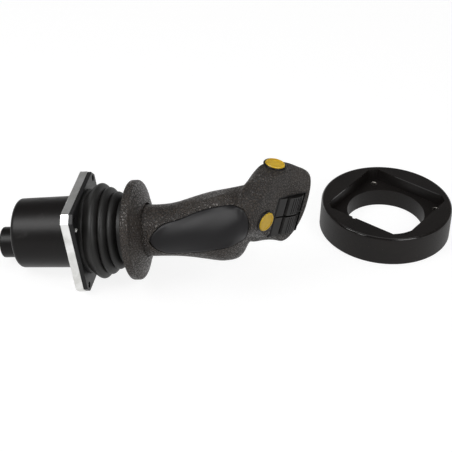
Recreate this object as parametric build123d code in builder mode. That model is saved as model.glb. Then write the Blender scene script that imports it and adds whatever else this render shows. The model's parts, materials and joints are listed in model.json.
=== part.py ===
from build123d import *
import math
import os

os.makedirs("parts", exist_ok=True)

# Two-axis pilot joystick with an ergonomic grip, lying on its flange edge and body rim,
# and the mounting ring taken off and laid flat beside it.
# All lengths are in mm. Joystick frame: x to the operator's right, y away from the operator,
# z along the lever; the flange's mounting face is z = 0.

# ---- base
FLANGE_SIDE = 72.0
FLANGE_THK = 6.4
COVER_THK = 3.3
CORNER_CUT = 5.4
HOLE_PITCH = 60.0
HOLE_D = 5.0
FLANGE_BORE_D = 56.5
COVER_BORE_D = 52.0
SCREWS_AT = [(-22.3, -31.7), (22.3, 31.7)]
BODY_D = 56.4
BODY_END_D = 54.6
BODY_LEN = 48.0
BODY_EDGE = 3.4
BODY_WALL = 3.0
STUB_D = 24.4
STUB_LEN = 16.2
STUB_OFFSET = 8.4
STUB_BORE_D = 15.0
# ---- gimbal
PIVOT_Z = -7.0
PIN_D = 5.0
RING_OUT_D = 39.0
RING_IN_D = 30.4
RING_H = 7.0
SHAFT_D = 12.0
SHAFT_BORE_D = 7.0
SHAFT_TOP = 66.0
# ---- bellows and base disc
FOOT_D = 66.0
FOOT_THK = 2.8
CRESTS = [(37.3, 20.4), (33.8, 27.4), (30.0, 33.8)]
VALLEYS = [(31.6, 24.2), (28.4, 30.7), (25.9, 37.6)]
BELLOWS_WALL = 1.7
COLLAR_R = 25.9
DISC_R = 38.8
DISC_Z = 43.8
DISC_RIM = 6.6
DISC_TOP = 55.9
NECK_R = 19.8
NECK_Z = 50.6
# ---- grip: height on the lever axis, lean to the operator, lean right, centre x and y,
# then radii every 30 degrees from the operator's right, anticlockwise
STATIONS = [
    (NECK_Z, 0, 0, 0.6, -0.4,
     [19.8, 19.8, 19.8, 19.8, 19.8, 19.8, 19.8, 19.8, 19.8, 19.8, 19.8, 19.8]),
    (64.0, 0, 0, 0.6, -0.4,
     [20.0, 20.0, 20.0, 20.2, 20.2, 20.0, 20.0, 20.0, 20.0, 20.0, 20.0, 20.0]),
    (78.0, 0, 0, 0.3, -0.3,
     [20.3, 20.5, 21.5, 22.3, 21.8, 20.8, 21.1, 20.2, 20.6, 20.9, 20.8, 20.5]),
    (96.0, 0, 0, 0.0, 0.0,
     [22.0, 22.5, 24.5, 26.0, 26.2, 25.2, 25.1, 23.4, 23.5, 23.5, 22.9, 22.7]),
    (112.0, 2, 0, 0.0, 0.0,
     [24.1, 23.1, 24.5, 27.5, 29.4, 28.8, 28.1, 25.4, 24.5, 24.9, 25.8, 24.9]),
    (122.0, 6, 1, 0.0, 0.0,
     [24.2, 23.0, 24.1, 27.6, 30.2, 30.6, 29.7, 26.4, 24.9, 24.9, 25.8, 25.1]),
    (130.5, 13, 3, -1.5, 0.5,
     [23.4, 21.2, 23.7, 27.7, 30.9, 31.3, 27.8, 26.6, 25.9, 24.5, 23.4, 24.7]),
    (138.5, 21, 6, -4.0, 1.2,
     [18.7, 22.3, 24.7, 28.1, 34.2, 40.9, 40.1, 28.9, 25.9, 22.5, 17.6, 14.2]),
    (148.0, 30, 10, -6.5, 1.8,
     [20.4, 26.6, 29.2, 32.8, 39.1, 46.3, 49.2, 32.8, 26.5, 24.5, 18.0, 15.5]),
    (157.0, 34, 13, -8.0, 2.0,
     [19.4, 33.1, 36.2, 38.8, 44.7, 41.6, 45.2, 33.9, 27.9, 26.0, 18.9, 17.5]),
    (166.0, 34, 13, -9.0, 2.0,
     [21.0, 32.6, 35.8, 38.4, 43.4, 42.4, 43.7, 33.9, 27.9, 26.0, 18.9, 17.3]),
]
SHELL_WALL = 2.6
EDGE_ROUND = 2.0
TOP_NORMAL = (0.17, -0.56, 0.81)
TOP_ALONG = (0.36, 0.80, 0.48)
TOP_BUTTON_AT = (-10.6, -9.2, 151.5)
HORN_NORMAL = (-0.943, 0.115, 0.313)
HORN_CENTRE = (-45.9, 14.4, 160.0)
PAD_LEAN = 27.0
PAD_THK = 1.6
PAD_PROUD = 0.3
PAD_OUTLINE = [
    (6.0, 61.6), (0.0, 65.6), (-5.6, 72.5), (-9.2, 85.0), (-14.6, 100.0), (-18.3, 116.0),
    (-19.0, 128.5), (-16.0, 137.6), (-8.0, 141.0), (0.5, 139.8), (7.0, 135.2), (11.8, 127.6),
    (14.6, 113.1), (16.6, 99.0), (17.4, 86.0), (16.6, 71.0), (12.2, 64.0),
]
# ---- controls
CAP_D = 15.2
BEZEL_D = 18.0
BEZEL_UP = 1.0
CAP_UP = 1.8
BUTTON_TRAVEL = 2.0
BUTTON_DEPTH = 9.0
ROCKER_W = 14.8
ROCKER_L = 31.2
ROCKER_FORWARD = 26.3
ROCKER_SIDE = -1.3
ROCKER_PITCH = 16.2
ROCKER_AXLE_DEPTH = 5.4
TRAY_DEPTH = 9.4
TRAY_WALL = 0.8
# ---- mounting ring
RING_D = 108.4
RING_HEIGHT = 25.0
RING_BORE_D = 64.2
POCKET_SIDE = 74.0
POCKET_DEPTH = 10.2
RING_AT = (233.2, 113.3)
RING_TURN = -26.0
INSERT_D = 5.6
INSERT_BORE_D = 4.2
INSERT_LEN = 9.0

# ---- where it all lies: the lever points along +X, nose up until flange and body rim touch the bench
HALF = FLANGE_SIDE / 2
RIM_R = BODY_END_D / 2 - BODY_EDGE
RIM_Z = BODY_LEN - BODY_EDGE
low, high = 0.0, 40.0
for _ in range(60):
    pitch = (low + high) / 2
    c, s = math.cos(math.radians(pitch)), math.sin(math.radians(pitch))
    if RIM_R * c + RIM_Z * s + BODY_EDGE < HALF * c:
        low = pitch
    else:
        high = pitch
BENCH = Location((0, 0, 0), (0, 90 - pitch, 0))
FLOOR_Z = -HALF * math.cos(math.radians(pitch))
BESIDE = Location((RING_AT[0], RING_AT[1], FLOOR_Z), (0, 0, RING_TURN))

TOP = Vector(*TOP_NORMAL).normalized()
ALONG = (Vector(*TOP_ALONG) - TOP * Vector(*TOP_ALONG).dot(TOP)).normalized()
ACROSS = ALONG.cross(TOP).normalized()
TOP_SEAT = Plane(origin=Vector(*TOP_BUTTON_AT), x_dir=ACROSS, z_dir=TOP)
PANEL = TOP_SEAT.offset(0)
PANEL.origin = Vector(*TOP_BUTTON_AT) + ALONG * ROCKER_FORWARD + ACROSS * ROCKER_SIDE
HORN = Plane(origin=Vector(*HORN_CENTRE), z_dir=Vector(*HORN_NORMAL))
UPPER = (Align.CENTER, Align.CENTER, Align.MIN)
LOWER = (Align.CENTER, Align.CENTER, Align.MAX)
POCKET_CUT = CORNER_CUT * POCKET_SIDE / FLANGE_SIDE
CAP_R = CAP_D / 2
SLEEVE_R = CAP_R + 0.3
SLEEVE_OUT_R = SLEEVE_R + 0.8


def put(piece, name, where=BENCH):
    """Names a finished piece and lays it in its place."""
    piece.part = piece.part.moved(where)
    piece.part.label = name


def station_plane(station):
    """The leaning plane of one grip section."""
    lean, right = station[1], station[2]
    normal = Vector(0, 0, 1).rotate(Axis.X, lean).rotate(Axis.Y, right)
    across = Vector(1, 0, 0).rotate(Axis.X, lean).rotate(Axis.Y, right)
    return Plane(origin=(station[3], station[4], station[0]), x_dir=across, z_dir=normal)


def station_edges(station, inset):
    """One closed grip section, cut in four arcs so that every section starts in the same direction."""
    count = len(station[5])
    corners = []
    for k in range(count):
        angle = 2 * math.pi * k / count
        radius = station[5][k] - inset
        corners.append(Vector(radius * math.cos(angle), radius * math.sin(angle)))
    ring = Edge.make_spline(corners, periodic=True, parameters=[k / count for k in range(count + 1)])
    return [ring.trim(k / 4, (k + 1) / 4) for k in range(4)]


def grip_body(inset, sink, start_drop=0.0):
    """The whole grip shape, inset all round and cut sink below its flat faces."""
    with BuildPart() as body:
        for station in STATIONS:
            drop = start_drop if station is STATIONS[0] else 0.0
            with BuildSketch(station_plane(station).offset(-drop)):
                with BuildLine():
                    for arc in station_edges(station, inset):
                        add(arc)
                make_face()
        loft(clean=False)
        for face in (PANEL, HORN):
            block = Box(220, 220, 70, align=UPPER, mode=Mode.PRIVATE).moved(face.offset(-sink).location)
            add(block, mode=Mode.SUBTRACT)
    return body.part


def pad_prism(grow):
    """The palm pad's outline, driven through the back of the grip."""
    outline = []
    for along, height in PAD_OUTLINE:
        away = Vector(along, height - 95.0)
        outline.append(Vector(along, height) + away.normalized() * grow)
    side = Vector(0, -1, 0).rotate(Axis.Z, -PAD_LEAN)
    across = Vector(0, 0, 1).cross(side)
    with BuildPart() as prism:
        with BuildSketch(Plane(origin=(0, 0, 0), x_dir=across, z_dir=side)):
            with BuildLine():
                Spline(*outline, periodic=True)
            make_face()
        extrude(amount=60)
    return prism.part


# ================================================================ base
with BuildPart() as body_housing:
    with BuildSketch(Plane.XZ):
        with BuildLine():
            outer = BODY_D / 2
            end = BODY_END_D / 2
            Polyline((0, -BODY_LEN), (end - BODY_EDGE, -BODY_LEN))
            RadiusArc((end - BODY_EDGE, -BODY_LEN), (end, -BODY_LEN + BODY_EDGE), -BODY_EDGE)
            Polyline((end, -BODY_LEN + BODY_EDGE), (outer, 0), (outer, FLANGE_THK),
                     (outer - BODY_WALL, FLANGE_THK), (outer - BODY_WALL, 0),
                     (end - BODY_WALL, -BODY_LEN + BODY_WALL), (0, -BODY_LEN + BODY_WALL), (0, -BODY_LEN))
        make_face()
    revolve(axis=Axis.Z)
    with Locations((STUB_OFFSET, 0, -BODY_LEN + BODY_WALL / 2)):
        Cylinder(STUB_BORE_D / 2 + 1.6, BODY_WALL + 1, mode=Mode.SUBTRACT)
put(body_housing, "body_housing")
export_step(body_housing.part, "parts/body_housing.step")

with BuildPart() as outlet_stub:
    with Locations((STUB_OFFSET, 0, -BODY_LEN)):
        Cylinder(STUB_D / 2, STUB_LEN, align=LOWER)
    fillet(outlet_stub.edges().group_by(Axis.Z)[0], 1.5)
    with Locations((STUB_OFFSET, 0, -BODY_LEN)):
        Cylinder(STUB_BORE_D / 2 + 1.5, BODY_WALL, align=UPPER)
        Cylinder(STUB_BORE_D / 2, 2 * STUB_LEN + 2 * BODY_WALL, mode=Mode.SUBTRACT)
put(outlet_stub, "outlet_stub")
export_step(outlet_stub.part, "parts/outlet_stub.step")

with BuildPart() as outlet_grommet:
    with Locations((STUB_OFFSET, 0, -BODY_LEN - STUB_LEN + 0.8)):
        Cylinder(STUB_BORE_D / 2 - 0.05, 8, align=UPPER)
        Cylinder(3.6, 20, mode=Mode.SUBTRACT)
    mouth = outlet_grommet.edges().filter_by(GeomType.CIRCLE).group_by(Axis.Z)[0]
    fillet(mouth.sort_by(SortBy.RADIUS)[0], 0.8)
put(outlet_grommet, "outlet_grommet")
export_step(outlet_grommet.part, "parts/outlet_grommet.step")

with BuildPart() as mounting_flange:
    with BuildSketch():
        Rectangle(FLANGE_SIDE, FLANGE_SIDE)
        chamfer(vertices(), CORNER_CUT)
    extrude(amount=FLANGE_THK)
    chamfer(mounting_flange.edges().group_by(Axis.Z)[0] + mounting_flange.edges().group_by(Axis.Z)[-1], 0.35)
    with Locations((0, 0, FLANGE_THK / 2)):
        Cylinder(FLANGE_BORE_D / 2, 3 * FLANGE_THK, mode=Mode.SUBTRACT)
        with GridLocations(HOLE_PITCH, HOLE_PITCH, 2, 2):
            Cylinder(HOLE_D / 2, 3 * FLANGE_THK, mode=Mode.SUBTRACT)
        with Locations(*SCREWS_AT):
            Cylinder(1.05, 3 * FLANGE_THK, mode=Mode.SUBTRACT)
put(mounting_flange, "mounting_flange")
export_step(mounting_flange.part, "parts/mounting_flange.step")

with BuildPart() as top_plate:
    with BuildSketch(Plane.XY.offset(FLANGE_THK)):
        Rectangle(FLANGE_SIDE - 0.6, FLANGE_SIDE - 0.6)
        chamfer(vertices(), CORNER_CUT)
    extrude(amount=COVER_THK)
    chamfer(top_plate.edges().group_by(Axis.Z)[-1], 0.5)
    with Locations((0, 0, FLANGE_THK + COVER_THK / 2)):
        Cylinder(COVER_BORE_D / 2, 3 * COVER_THK, mode=Mode.SUBTRACT)
        with GridLocations(HOLE_PITCH, HOLE_PITCH, 2, 2):
            Cylinder(HOLE_D / 2, 3 * COVER_THK, mode=Mode.SUBTRACT)
        with Locations(*SCREWS_AT):
            Cylinder(1.1, 3 * COVER_THK, mode=Mode.SUBTRACT)
put(top_plate, "top_plate")
export_step(top_plate.part, "parts/top_plate.step")

with BuildPart() as plate_screws:
    with Locations((0, 0, FLANGE_THK + COVER_THK)):
        with Locations(*SCREWS_AT):
            Cylinder(1.7, 1.1, align=UPPER)
    fillet(plate_screws.edges().group_by(Axis.Z)[-1], 0.6)
    with Locations((0, 0, FLANGE_THK + COVER_THK)):
        with Locations(*SCREWS_AT):
            Cylinder(1.0, FLANGE_THK + COVER_THK - 1, align=LOWER)
    with Locations((0, 0, FLANGE_THK + COVER_THK + 1.1)):
        with Locations(*SCREWS_AT):
            Cylinder(0.7, 1.4, mode=Mode.SUBTRACT)
put(plate_screws, "plate_screws")
export_step(plate_screws.part, "parts/plate_screws.step")

PLATE_TOP = FLANGE_THK + COVER_THK
with BuildPart() as bellows_foot:
    with Locations((0, 0, PLATE_TOP)):
        Cylinder(FOOT_D / 2, FOOT_THK, align=UPPER)
        Cylinder(FOOT_D / 2 - 5.5, 3 * FOOT_THK, mode=Mode.SUBTRACT)
    lip = bellows_foot.edges().filter_by(GeomType.CIRCLE).group_by(Axis.Z)[-1]
    chamfer(lip.sort_by(SortBy.RADIUS)[-1], 0.9)
put(bellows_foot, "bellows_foot")
export_step(bellows_foot.part, "parts/bellows_foot.step")

FOOT_TOP = PLATE_TOP + FOOT_THK
profile = [(CRESTS[0][0] - 5.2, FOOT_TOP + 0.05), (CRESTS[0][0] - 2.2, FOOT_TOP + 3.6), CRESTS[0],
           VALLEYS[0], CRESTS[1], VALLEYS[1], CRESTS[2], VALLEYS[2],
           (COLLAR_R, DISC_Z - 1.5), (COLLAR_R, DISC_Z + 2.2)]
with BuildPart() as bellows:
    with BuildSketch(Plane.XZ):
        with BuildLine():
            skin = Spline(*profile)
            inner = Spline(*[(r - BELLOWS_WALL, z) for r, z in profile])
            Line(skin @ 0, inner @ 0)
            Line(skin @ 1, inner @ 1)
        make_face()
    revolve(axis=Axis.Z)
put(bellows, "bellows")
export_step(bellows.part, "parts/bellows.step")

with BuildPart() as bearing_brackets:
    with Locations((0, 0, -13.0)):
        Cylinder(BODY_D / 2 - BODY_WALL - 0.35, 13.0, align=UPPER)
        Cylinder(RING_OUT_D / 2 + 0.9, 40, mode=Mode.SUBTRACT)
        with Locations((0, 26, 0), (0, -26, 0)):
            Box(80, 40, 60, mode=Mode.SUBTRACT)
    with Locations(Location((0, 0, PIVOT_Z), (0, 90, 0))):
        Cylinder(PIN_D / 2 + 0.05, 80, mode=Mode.SUBTRACT)
put(bearing_brackets, "bearing_brackets")
export_step(bearing_brackets.part, "parts/bearing_brackets.step")

BLOCK_R = BODY_END_D / 2 - BODY_WALL - 0.25
BLOCK_Z = -BODY_LEN + BODY_WALL
with BuildPart() as core_block:
    with Locations((0, 0, BLOCK_Z)):
        Cylinder(BLOCK_R, 16.5, align=UPPER)
    with Locations((0, 0, BLOCK_Z + 16.5)):
        Cylinder(17.5, 3.6, align=UPPER)
        Cylinder(12.4, 3.6, align=UPPER, mode=Mode.SUBTRACT)
    with Locations((STUB_OFFSET, 0, BLOCK_Z)):
        Cylinder(4.0, 60, mode=Mode.SUBTRACT)
        Cylinder(STUB_BORE_D / 2 + 2.0, 3.4, align=UPPER, mode=Mode.SUBTRACT)
put(core_block, "core_block")
export_step(core_block.part, "parts/core_block.step")

BOARD_Z = BLOCK_Z + 16.5
with BuildPart() as sensor_board:
    with Locations((0, 0, BOARD_Z)):
        Cylinder(12.1, 1.6, align=UPPER)
        with Locations((STUB_OFFSET, 0, 0)):
            Cylinder(2.4, 8, mode=Mode.SUBTRACT)
put(sensor_board, "sensor_board")
export_step(sensor_board.part, "parts/sensor_board.step")

with BuildPart() as hall_sensors:
    with Locations((-1.5, 0, BOARD_Z + 1.6)):
        Box(4.2, 6.0, 1.5, align=UPPER)
    with Locations((-1.5, 8.0, BOARD_Z + 1.6), (-1.5, -8.0, BOARD_Z + 1.6)):
        Box(5.0, 3.2, 1.0, align=UPPER)
put(hall_sensors, "hall_sensors")
export_step(hall_sensors.part, "parts/hall_sensors.step")

HUB_FOOT = PIVOT_Z - 11.4
SEAT_Z = BOARD_Z + 3.6
SPRING_H = HUB_FOOT - SEAT_Z - 0.2
with BuildPart() as centring_spring:
    with BuildLine() as coil:
        Helix(pitch=(SPRING_H - 1.7) / 3.0, height=SPRING_H - 1.7, radius=14.6, center=(0, 0, SEAT_Z + 0.95))
    with BuildSketch(Plane(origin=coil.line @ 0, z_dir=coil.line % 0)):
        Circle(0.75)
    sweep(path=coil.line)
put(centring_spring, "centring_spring")
export_step(centring_spring.part, "parts/centring_spring.step")

# ================================================================ gimbal
with BuildPart() as gimbal_ring:
    with Locations((0, 0, PIVOT_Z)):
        Cylinder(RING_OUT_D / 2, RING_H)
        Cylinder(RING_IN_D / 2, 3 * RING_H, mode=Mode.SUBTRACT)
    chamfer(gimbal_ring.edges().filter_by(GeomType.CIRCLE), 0.4)
    with Locations(Location((0, 0, PIVOT_Z), (0, 90, 0))):
        Cylinder(PIN_D / 2 + 0.02, 80, mode=Mode.SUBTRACT)
    with Locations(Location((0, 0, PIVOT_Z), (90, 0, 0))):
        Cylinder(PIN_D / 2 + 0.05, 80, mode=Mode.SUBTRACT)
put(gimbal_ring, "gimbal_ring")
export_step(gimbal_ring.part, "parts/gimbal_ring.step")

PIN_OUT = BODY_D / 2 - BODY_WALL - 0.8
with BuildPart() as gimbal_pins:
    with Locations(Location((0, 0, PIVOT_Z), (0, 90, 0))):
        Cylinder(PIN_D / 2, 2 * PIN_OUT)
        Cylinder(PIN_D, 2 * (RING_IN_D / 2 + 0.3), mode=Mode.SUBTRACT)
put(gimbal_pins, "gimbal_pins")
export_step(gimbal_pins.part, "parts/gimbal_pins.step")

# ================================================================ lever
with BuildPart() as lever_shaft:
    with Locations((0, 0, HUB_FOOT)):
        Cylinder(15.2, 1.6, align=UPPER)
        Cylinder(8.5, 17.0, align=UPPER)
        Cylinder(SHAFT_D / 2, SHAFT_TOP - HUB_FOOT, align=UPPER)
        Cylinder(4.6, 2.6, align=LOWER)
    with Locations((0, 0, HUB_FOOT + 14)):
        Cylinder(SHAFT_BORE_D / 2, 2 * SHAFT_TOP, align=UPPER, mode=Mode.SUBTRACT)
    with Locations((0, 0, HUB_FOOT - 2.6)):
        Cylinder(3.05, 2.2, align=UPPER, mode=Mode.SUBTRACT)
    with Locations(Location((0, 0, PIVOT_Z), (90, 0, 0))):
        Cylinder(PIN_D / 2 + 0.02, 80, mode=Mode.SUBTRACT)
put(lever_shaft, "lever_shaft")
export_step(lever_shaft.part, "parts/lever_shaft.step")

with BuildPart() as lever_pin:
    with Locations(Location((0, 0, PIVOT_Z), (90, 0, 0))):
        Cylinder(PIN_D / 2, RING_OUT_D - 0.4)
put(lever_pin, "lever_pin")
export_step(lever_pin.part, "parts/lever_pin.step")

with BuildPart() as lever_magnet:
    with Locations((0, 0, HUB_FOOT - 2.7)):
        Cylinder(3.0, 2.2, align=UPPER)
put(lever_magnet, "lever_magnet")
export_step(lever_magnet.part, "parts/lever_magnet.step")

WEB_Z = DISC_Z + 2.4
RIM_TOP = DISC_Z + DISC_RIM
BOSS_R = COLLAR_R - BELLOWS_WALL - 0.35
with BuildPart() as base_disc:
    with BuildSketch(Plane.XZ):
        with BuildLine():
            Polyline((SHAFT_D / 2 + 0.1, WEB_Z), (20.6, WEB_Z), (20.6, DISC_Z - 2.0), (BOSS_R, DISC_Z - 2.0),
                     (BOSS_R, WEB_Z), (28.6, WEB_Z), (28.6, RIM_TOP - 1.0), (DISC_R - 3.2, RIM_TOP - 1.6),
                     (DISC_R - 3.0, DISC_Z), (DISC_R - 1.4, DISC_Z))
            RadiusArc((DISC_R - 1.4, DISC_Z), (DISC_R, DISC_Z + 1.4), -1.4)
            Line((DISC_R, DISC_Z + 1.4), (DISC_R, RIM_TOP - 1.4))
            RadiusArc((DISC_R, RIM_TOP - 1.4), (DISC_R - 1.6, RIM_TOP + 0.1), -1.7)
            Spline((DISC_R - 1.6, RIM_TOP + 0.1), (31.8, RIM_TOP + 2.2), (26.0, RIM_TOP + 4.4),
                   (NECK_R + 1.3, DISC_TOP), tangents=((-1, 0.08), (-1, 0.12)))
            Polyline((NECK_R + 1.3, DISC_TOP), (NECK_R + 1.3, NECK_Z - 0.1),
                     (SHAFT_D / 2 + 0.1, NECK_Z - 0.1), (SHAFT_D / 2 + 0.1, WEB_Z))
        make_face()
    revolve(axis=Axis.Z)
put(base_disc, "base_disc")
export_step(base_disc.part, "parts/base_disc.step")

with BuildPart() as grip_clamp:
    with Locations((0, 0, NECK_Z + 0.1)):
        Cylinder(NECK_R - SHELL_WALL - 1.6, 13.0, align=UPPER)
        Cylinder(SHAFT_D / 2 + 0.05, 80, mode=Mode.SUBTRACT)
    with Locations((0, 0, NECK_Z + 13.1)):
        Cylinder(11.0, 2.4, align=UPPER)
        Cylinder(SHAFT_D / 2 + 0.05, 80, mode=Mode.SUBTRACT)
put(grip_clamp, "grip_clamp")
export_step(grip_clamp.part, "parts/grip_clamp.step")

# ---- grip shells
OUTSIDE = grip_body(0, 0)
for radius in (EDGE_ROUND, 0.8 * EDGE_ROUND, 0.55 * EDGE_ROUND):
    rims = [edge for edge in OUTSIDE.edges() if edge.center().Z > 125]
    try:
        OUTSIDE = OUTSIDE.fillet(radius, rims)
        break
    except Exception:
        continue
INSIDE = grip_body(SHELL_WALL, SHELL_WALL + 0.4, 3.0)
PAD_FLOOR = grip_body(PAD_THK, 0, 0)
PAD_FACE = grip_body(-PAD_PROUD, 0, 0)
TRAY_W = ROCKER_PITCH + ROCKER_W + 1.0 + 2 * TRAY_WALL
TRAY_L = ROCKER_L + 1.2 + 2 * TRAY_WALL


def shell_openings():
    """What is cut through the grip's wall for the controls."""
    with BuildPart() as cuts:
        add(Box(TRAY_W + 0.2, TRAY_L + 0.2, TRAY_DEPTH + 30, mode=Mode.PRIVATE).moved(PANEL.location))
        for seat in (HORN, TOP_SEAT):
            add(Cylinder(SLEEVE_OUT_R + 0.1, 24, mode=Mode.PRIVATE).moved(seat.location))
    return cuts.part


with BuildPart() as grip_rear:
    add(OUTSIDE)
    add(INSIDE, mode=Mode.SUBTRACT)
    add(shell_openings(), mode=Mode.SUBTRACT)
    add(pad_prism(0.15) - PAD_FLOOR, mode=Mode.SUBTRACT)
    with Locations((0, -0.04, 110)):
        Box(200, 100, 200, align=(Align.CENTER, Align.MIN, Align.CENTER), mode=Mode.SUBTRACT)
put(grip_rear, "grip_rear")
export_step(grip_rear.part, "parts/grip_rear.step")

with BuildPart() as grip_front:
    add(OUTSIDE)
    add(INSIDE, mode=Mode.SUBTRACT)
    add(shell_openings(), mode=Mode.SUBTRACT)
    add(pad_prism(0.15) - PAD_FLOOR, mode=Mode.SUBTRACT)
    with Locations((0, 0.04, 110)):
        Box(200, 100, 200, align=(Align.CENTER, Align.MAX, Align.CENTER), mode=Mode.SUBTRACT)
put(grip_front, "grip_front")
export_step(grip_front.part, "parts/grip_front.step")

with BuildPart() as palm_pad:
    add(PAD_FACE)
    add(PAD_FLOOR, mode=Mode.SUBTRACT)
    add(pad_prism(0), mode=Mode.INTERSECT)
put(palm_pad, "palm_pad")
export_step(palm_pad.part, "parts/palm_pad.step")


# ---- push buttons
def bezel(seat):
    """A ring on the surface with a sleeve that goes into the grip."""
    with BuildPart() as piece:
        Cylinder(BEZEL_D / 2, BEZEL_UP, align=UPPER)
        Cylinder(SLEEVE_OUT_R, BUTTON_DEPTH, align=LOWER)
        Cylinder(SLEEVE_R, 60, mode=Mode.SUBTRACT)
        fillet(piece.edges().filter_by(GeomType.CIRCLE).group_by(Axis.Z)[-1].sort_by(SortBy.RADIUS)[-1], 0.8)
    return piece.part.moved(seat.location)


def cap(seat):
    """A round cap with a raised rim and a shallow dish."""
    with BuildPart() as piece:
        with Locations((0, 0, CAP_UP)):
            Cylinder(CAP_R, 6.6, align=LOWER)
        fillet(piece.edges().group_by(Axis.Z)[-1], 0.9)
        with Locations((0, 0, CAP_UP)):
            Cylinder(CAP_R - 1.6, 0.35, align=LOWER, mode=Mode.SUBTRACT)
    return piece.part.moved(seat.location)


def switch(seat):
    """The switch under a cap: a plug in the sleeve with its plunger."""
    with BuildPart() as piece:
        with Locations((0, 0, -BUTTON_DEPTH)):
            Cylinder(SLEEVE_R - 0.05, 1.4, align=UPPER)
            Cylinder(SLEEVE_OUT_R - 1.5, 5.0, align=LOWER)
            Cylinder(1.6, 1.9, align=UPPER)
    return piece.part.moved(seat.location)


with BuildPart() as thumb_bezel:
    add(bezel(HORN))
put(thumb_bezel, "thumb_bezel")
export_step(thumb_bezel.part, "parts/thumb_bezel.step")

with BuildPart() as thumb_button:
    add(cap(HORN))
put(thumb_button, "thumb_button")
export_step(thumb_button.part, "parts/thumb_button.step")

with BuildPart() as thumb_switch:
    add(switch(HORN))
put(thumb_switch, "thumb_switch")
export_step(thumb_switch.part, "parts/thumb_switch.step")

with BuildPart() as top_bezel:
    add(bezel(TOP_SEAT))
put(top_bezel, "top_bezel")
export_step(top_bezel.part, "parts/top_bezel.step")

with BuildPart() as top_button:
    add(cap(TOP_SEAT))
put(top_button, "top_button")
export_step(top_button.part, "parts/top_button.step")

with BuildPart() as top_switch:
    add(switch(TOP_SEAT))
put(top_switch, "top_switch")
export_step(top_switch.part, "parts/top_switch.step")

# ---- rocker switches, modelled with y along the rocker and z out of the panel
WELL_W = ROCKER_W + 0.8
WELL_L = ROCKER_L + 1.2
with BuildPart() as rocker_tray:
    Box(TRAY_W, TRAY_L, TRAY_DEPTH, align=LOWER)
    with Locations((-ROCKER_PITCH / 2, 0, 0), (ROCKER_PITCH / 2, 0, 0)):
        Box(WELL_W, WELL_L, 2 * (TRAY_DEPTH - 1.2), mode=Mode.SUBTRACT)
    with Locations(Location((0, 0, -ROCKER_AXLE_DEPTH), (0, 90, 0))):
        Cylinder(1.22, 80, mode=Mode.SUBTRACT)
put(rocker_tray, "rocker_tray", BENCH * PANEL.location)
export_step(rocker_tray.part, "parts/rocker_tray.step")

with BuildPart() as rocker_axle:
    with Locations(Location((0, 0, -ROCKER_AXLE_DEPTH), (0, 90, 0))):
        Cylinder(1.2, TRAY_W - 0.1)
put(rocker_axle, "rocker_axle", BENCH * PANEL.location)
export_step(rocker_axle.part, "parts/rocker_axle.step")


def rocker(side):
    """A paddle: smooth flank at the back, a groove, then a ribbed hump that slopes to the front."""
    back, front = -ROCKER_L / 2, ROCKER_L / 2
    with BuildPart() as piece:
        with BuildSketch(Plane.YZ.offset(-ROCKER_W / 2)):
            with BuildLine():
                Polyline((back, -3.6), (back + 0.2, 0.0), (back + 1.2, 0.5), (back + 8.0, 1.3),
                         (back + 8.9, 0.1), (back + 9.8, 0.1), (back + 10.6, 2.5))
                Spline((back + 10.6, 2.5), (back + 17.0, 3.3), (front - 5.0, 2.2), (front - 0.2, -1.6))
                Polyline((front - 0.2, -1.6), (front, -4.4), (4.0, -7.2), (-4.0, -7.2), (back, -3.6))
            make_face()
        extrude(amount=ROCKER_W)
        with Locations(*[(0, back + 12.6 + 2.3 * k, 3.45 - 0.022 * (k * k)) for k in range(7)]):
            Box(ROCKER_W - 1.6, 0.7, 1.3, mode=Mode.SUBTRACT)
        with Locations(Location((0, 0, -ROCKER_AXLE_DEPTH), (0, 90, 0))):
            Cylinder(1.26, 80, mode=Mode.SUBTRACT)
    return piece.part.moved(Location((side * ROCKER_PITCH / 2, 0, 0)))


with BuildPart() as rocker_left:
    add(rocker(-1))
put(rocker_left, "rocker_left", BENCH * PANEL.location)
export_step(rocker_left.part, "parts/rocker_left.step")

with BuildPart() as rocker_right:
    add(rocker(1))
put(rocker_right, "rocker_right", BENCH * PANEL.location)
export_step(rocker_right.part, "parts/rocker_right.step")

with BuildPart() as rocker_switches:
    with Locations((-ROCKER_PITCH / 2, 2.0, -TRAY_DEPTH), (ROCKER_PITCH / 2, 2.0, -TRAY_DEPTH)):
        Box(12.0, 14.0, 6.0, align=LOWER)
put(rocker_switches, "rocker_switches", BENCH * PANEL.location)
export_step(rocker_switches.part, "parts/rocker_switches.step")

# ================================================================ mounting ring, lying flat
with BuildPart() as mounting_ring:
    Cylinder(RING_D / 2, RING_HEIGHT, align=UPPER)
    fillet(mounting_ring.edges().group_by(Axis.Z)[-1], 2.4)
    chamfer(mounting_ring.edges().group_by(Axis.Z)[0], 0.6)
    with BuildSketch(Plane.XY.offset(RING_HEIGHT)):
        Rectangle(POCKET_SIDE, POCKET_SIDE)
        chamfer(vertices(), POCKET_CUT)
    extrude(amount=-POCKET_DEPTH, mode=Mode.SUBTRACT)
    Cylinder(RING_BORE_D / 2, 3 * RING_HEIGHT, mode=Mode.SUBTRACT)
    with Locations((-9.0, -POCKET_SIDE / 2, RING_HEIGHT)):
        Cylinder(1.6, 2 * POCKET_DEPTH, mode=Mode.SUBTRACT)
    with Locations((0, 0, RING_HEIGHT - POCKET_DEPTH)):
        with GridLocations(HOLE_PITCH, HOLE_PITCH, 2, 2):
            Cylinder(INSERT_D / 2, INSERT_LEN, align=LOWER, mode=Mode.SUBTRACT)
put(mounting_ring, "mounting_ring", BESIDE)
export_step(mounting_ring.part, "parts/mounting_ring.step")

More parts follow.
